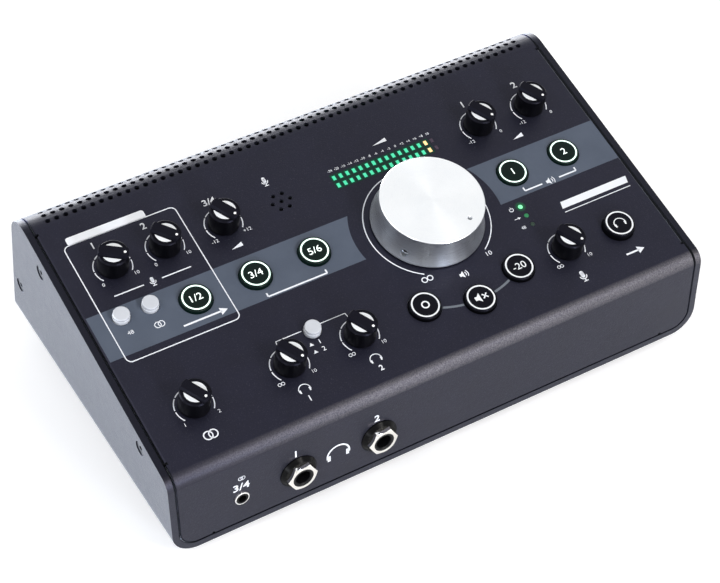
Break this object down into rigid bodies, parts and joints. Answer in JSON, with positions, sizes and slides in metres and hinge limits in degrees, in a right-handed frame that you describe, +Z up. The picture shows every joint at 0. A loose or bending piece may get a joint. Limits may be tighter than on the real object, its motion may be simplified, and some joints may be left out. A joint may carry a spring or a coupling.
{
  "type": "studio monitor controller",
  "caption": "Desk-top audio controller: sloping steel case with a large volume knob, small knobs, round push buttons, a level meter and front and rear sockets.",
  "frame": {"origin": "on the table, under the middle of the whole footprint, the front sockets included", "axes": "+X to the user's right, +Y away from the user, +Z up; the panel slopes down towards -Y"},
  "size_m": [0.25, 0.1592, 0.081],
  "materials": {
    "powder_coat": "fine-textured satin black powder coat",
    "knob_plastic": "satin black",
    "volume_alu": "turned, fine radial grain",
    "button_plastic": "smoked translucent, soft gloss",
    "cap_plastic": "pale grey",
    "led_green": "clear tinted lens",
    "led_amber": "clear tinted lens",
    "led_red": "dark tinted lens",
    "steel_bright": "nickel plated",
    "steel_black": "black oxide",
    "steel_plain": "zinc plated",
    "rubber": "matte",
    "board": "green solder mask",
    "socket_plastic": "moulded black",
    "brass": "turned",
    "ribbon": "grey vinyl",
    "component_can": "sleeved"
  },
  "bodies": {
    "chassis": {"base_tray": "powder_coat", "top_cover": "powder_coat", "rubber_feet": "rubber", "side_screws": "steel_black", "press_nuts": "steel_plain", "floor_screws": "steel_black", "control_board": "board", "board_spacers": "brass", "pan_screws": "steel_plain", "main_board": "board", "main_board_components": "component_can", "rear_board": "board", "ribbon_headers": "socket_plastic", "ribbon_cables": "ribbon", "potentiometers": "steel_plain", "volume_potentiometer": "steel_plain", "volume_nut": "steel_bright", "button_switches": "socket_plastic", "latching_switches": "socket_plastic", "meter_lights_green": "led_green", "meter_lights_amber": "led_amber", "meter_lights_red": "led_red", "status_lights": "led_green", "microphone": "steel_plain", "microphone_boot": "rubber", "headphone_sockets": "socket_plastic", "line_sockets": "socket_plastic", "socket_nuts": "steel_bright", "socket_washers": "steel_black", "mini_socket": "socket_plastic", "mini_socket_ring": "steel_bright", "combination_sockets": "socket_plastic", "data_socket": "steel_bright", "power_socket": "socket_plastic"},
    "volume": {"volume_knob": "volume_alu", "volume_set_screw": "steel_black", "volume_shaft": "brass"},
    "knob_gain_1": {"knob_gain_1": "knob_plastic"},
    "knob_gain_2": {"knob_gain_2": "knob_plastic"},
    "knob_trim_34": {"knob_trim_34": "knob_plastic"},
    "knob_trim_a": {"knob_trim_a": "knob_plastic"},
    "knob_trim_b": {"knob_trim_b": "knob_plastic"},
    "knob_talkback": {"knob_talkback": "knob_plastic"},
    "knob_phones_1": {"knob_phones_1": "knob_plastic"},
    "knob_phones_2": {"knob_phones_2": "knob_plastic"},
    "knob_direct": {"knob_direct": "knob_plastic"},
    "button_source_12": {"button_source_12": "button_plastic"},
    "button_source_34": {"button_source_34": "button_plastic"},
    "button_source_return": {"button_source_return": "button_plastic"},
    "button_monitor_a": {"button_monitor_a": "button_plastic"},
    "button_monitor_b": {"button_monitor_b": "button_plastic"},
    "button_cue": {"button_cue": "button_plastic"},
    "button_mono": {"button_mono": "button_plastic"},
    "button_mute": {"button_mute": "button_plastic"},
    "button_dim": {"button_dim": "button_plastic"},
    "cap_phantom": {"cap_phantom": "cap_plastic"},
    "cap_pan": {"cap_pan": "cap_plastic"},
    "cap_phones_source": {"cap_phones_source": "cap_plastic"}
  },
  "joints": [
    {"name": "gain_1_turn", "type": "hinge", "parent": "chassis", "child": "knob_gain_1", "pos_m": [-0.0999, 0.0203, 0.06855], "axis": [0, -0.2419, 0.9703], "range_deg": [-27, 273]},
    {"name": "gain_2_turn", "type": "hinge", "parent": "chassis", "child": "knob_gain_2", "pos_m": [-0.0767, 0.0203, 0.06855], "axis": [0, -0.2419, 0.9703], "range_deg": [-10, 290]},
    {"name": "trim_34_turn", "type": "hinge", "parent": "chassis", "child": "knob_trim_34", "pos_m": [-0.05, 0.0203, 0.06855], "axis": [0, -0.2419, 0.9703], "range_deg": [0, 300]},
    {"name": "trim_a_turn", "type": "hinge", "parent": "chassis", "child": "knob_trim_a", "pos_m": [0.0737, 0.0203, 0.06855], "axis": [0, -0.2419, 0.9703], "range_deg": [0, 300]},
    {"name": "trim_b_turn", "type": "hinge", "parent": "chassis", "child": "knob_trim_b", "pos_m": [0.0997, 0.0203, 0.06855], "axis": [0, -0.2419, 0.9703], "range_deg": [0, 300]},
    {"name": "talkback_turn", "type": "hinge", "parent": "chassis", "child": "knob_talkback", "pos_m": [0.0739, -0.04869, 0.05135], "axis": [0, -0.2419, 0.9703], "range_deg": [0, 300]},
    {"name": "phones_1_turn", "type": "hinge", "parent": "chassis", "child": "knob_phones_1", "pos_m": [-0.0576, -0.04869, 0.05135], "axis": [0, -0.2419, 0.9703], "range_deg": [0, 300]},
    {"name": "phones_2_turn", "type": "hinge", "parent": "chassis", "child": "knob_phones_2", "pos_m": [-0.0257, -0.04869, 0.05135], "axis": [0, -0.2419, 0.9703], "range_deg": [0, 300]},
    {"name": "direct_turn", "type": "hinge", "parent": "chassis", "child": "knob_direct", "pos_m": [-0.0996, -0.04869, 0.05135], "axis": [0, -0.2419, 0.9703], "range_deg": [0, 300]},
    {"name": "volume_turn", "type": "hinge", "parent": "chassis", "child": "volume", "pos_m": [0.02764, -0.01288, 0.06028], "axis": [0, -0.2419, 0.9703], "range_deg": [0, 294]},
    {"name": "source_12_press", "type": "slide", "parent": "chassis", "child": "button_source_12", "axis": [0, 0.2419, -0.9703], "range_m": [0, 0.0009], "stiffness_N_per_m": 300, "springref_m": -0.001},
    {"name": "source_34_press", "type": "slide", "parent": "chassis", "child": "button_source_34", "axis": [0, 0.2419, -0.9703], "range_m": [0, 0.0009], "stiffness_N_per_m": 300, "springref_m": -0.001},
    {"name": "source_return_press", "type": "slide", "parent": "chassis", "child": "button_source_return", "axis": [0, 0.2419, -0.9703], "range_m": [0, 0.0009], "stiffness_N_per_m": 300, "springref_m": -0.001},
    {"name": "monitor_a_press", "type": "slide", "parent": "chassis", "child": "button_monitor_a", "axis": [0, 0.2419, -0.9703], "range_m": [0, 0.0009], "stiffness_N_per_m": 300, "springref_m": -0.001},
    {"name": "monitor_b_press", "type": "slide", "parent": "chassis", "child": "button_monitor_b", "axis": [0, 0.2419, -0.9703], "range_m": [0, 0.0009], "stiffness_N_per_m": 300, "springref_m": -0.001},
    {"name": "cue_press", "type": "slide", "parent": "chassis", "child": "button_cue", "axis": [0, 0.2419, -0.9703], "range_m": [0, 0.0009], "stiffness_N_per_m": 300, "springref_m": -0.001},
    {"name": "mono_press", "type": "slide", "parent": "chassis", "child": "button_mono", "axis": [0, 0.2419, -0.9703], "range_m": [0, 0.0009], "stiffness_N_per_m": 300, "springref_m": -0.001},
    {"name": "mute_press", "type": "slide", "parent": "chassis", "child": "button_mute", "axis": [0, 0.2419, -0.9703], "range_m": [0, 0.0009], "stiffness_N_per_m": 300, "springref_m": -0.001},
    {"name": "dim_press", "type": "slide", "parent": "chassis", "child": "button_dim", "axis": [0, 0.2419, -0.9703], "range_m": [0, 0.0009], "stiffness_N_per_m": 300, "springref_m": -0.001},
    {"name": "phantom_press", "type": "slide", "parent": "chassis", "child": "cap_phantom", "axis": [0, 0.2419, -0.9703], "range_m": [0, 0.0018], "stiffness_N_per_m": 300, "springref_m": -0.001},
    {"name": "pan_press", "type": "slide", "parent": "chassis", "child": "cap_pan", "axis": [0, 0.2419, -0.9703], "range_m": [0, 0.0018], "stiffness_N_per_m": 300, "springref_m": -0.001},
    {"name": "phones_source_press", "type": "slide", "parent": "chassis", "child": "cap_phones_source", "axis": [0, 0.2419, -0.9703], "range_m": [0, 0.0018], "stiffness_N_per_m": 300, "springref_m": -0.001}
  ]
}
